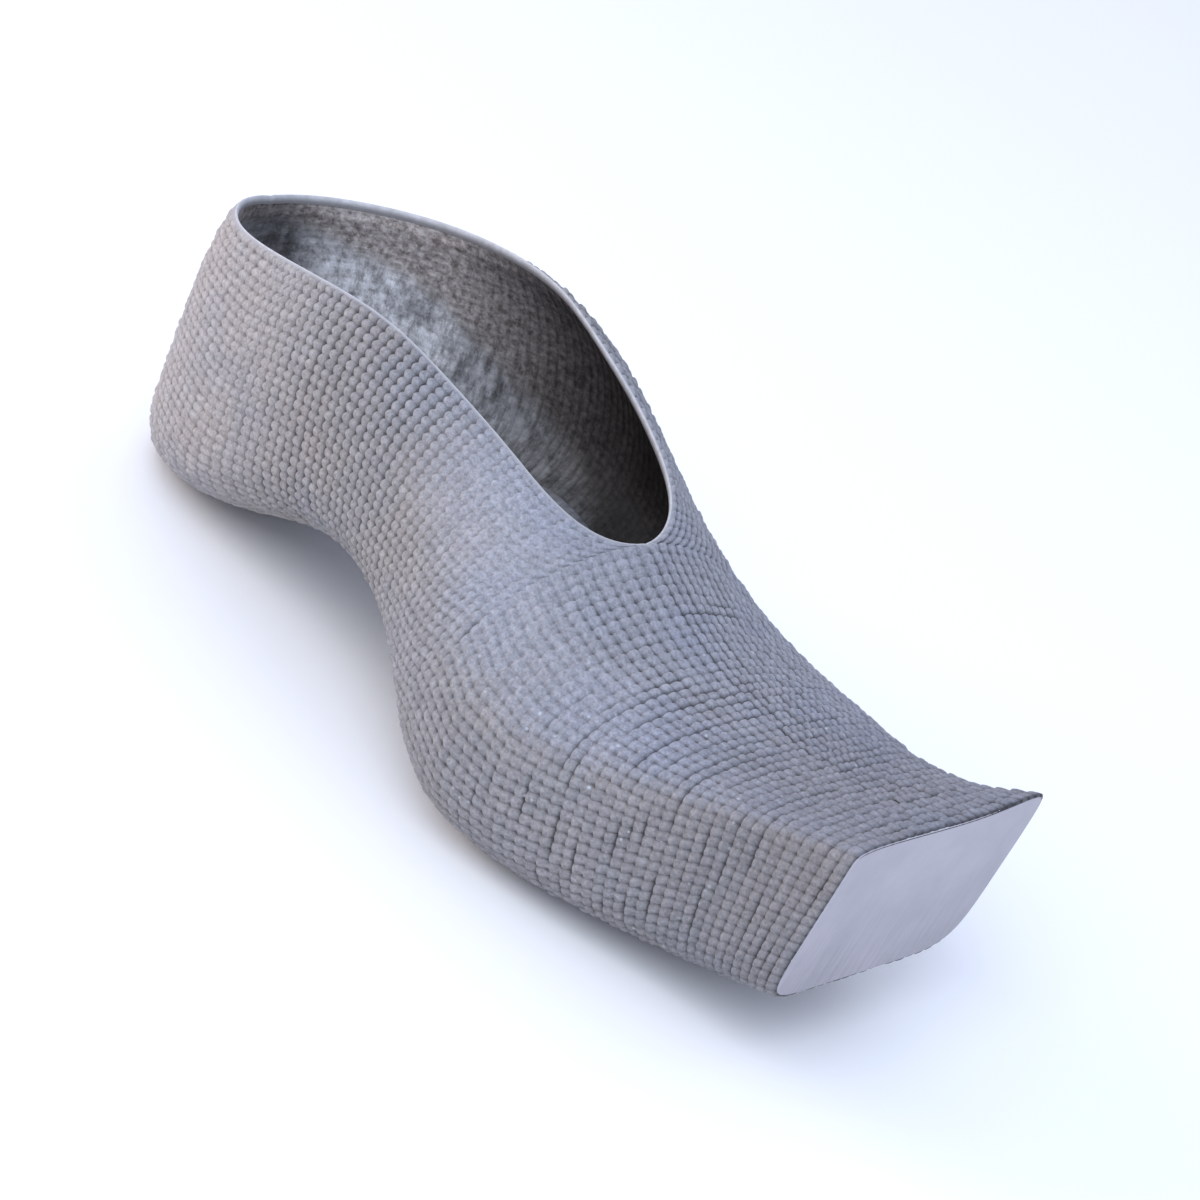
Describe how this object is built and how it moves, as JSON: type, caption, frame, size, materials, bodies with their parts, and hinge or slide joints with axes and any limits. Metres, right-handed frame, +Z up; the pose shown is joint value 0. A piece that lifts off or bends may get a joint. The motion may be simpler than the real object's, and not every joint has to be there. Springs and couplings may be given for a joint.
{
  "type": "printed slip-on shoe",
  "caption": "Left slip-on shoe printed as one hollow grey shell with rows of small scales, a closed heel, a high arch and a square upturned toe closed by a flat plate.",
  "frame": {"origin": "middle of the shoe's own box, on the floor that it stands on", "axes": "+X from heel to toe, +Y to the wearer's left, which is the outer side of the foot, +Z up"},
  "size_m": [0.2574, 0.114, 0.085],
  "materials": {
    "printed_grey": "satin grey print with rows of small scales",
    "plate_grey": "smooth satin, pale lavender grey",
    "insole_grey": "dull dark grey"
  },
  "bodies": {
    "root": {"printed_shell": "printed_grey", "toe_plate": "plate_grey", "insole": "insole_grey"}
  },
  "joints": []
}
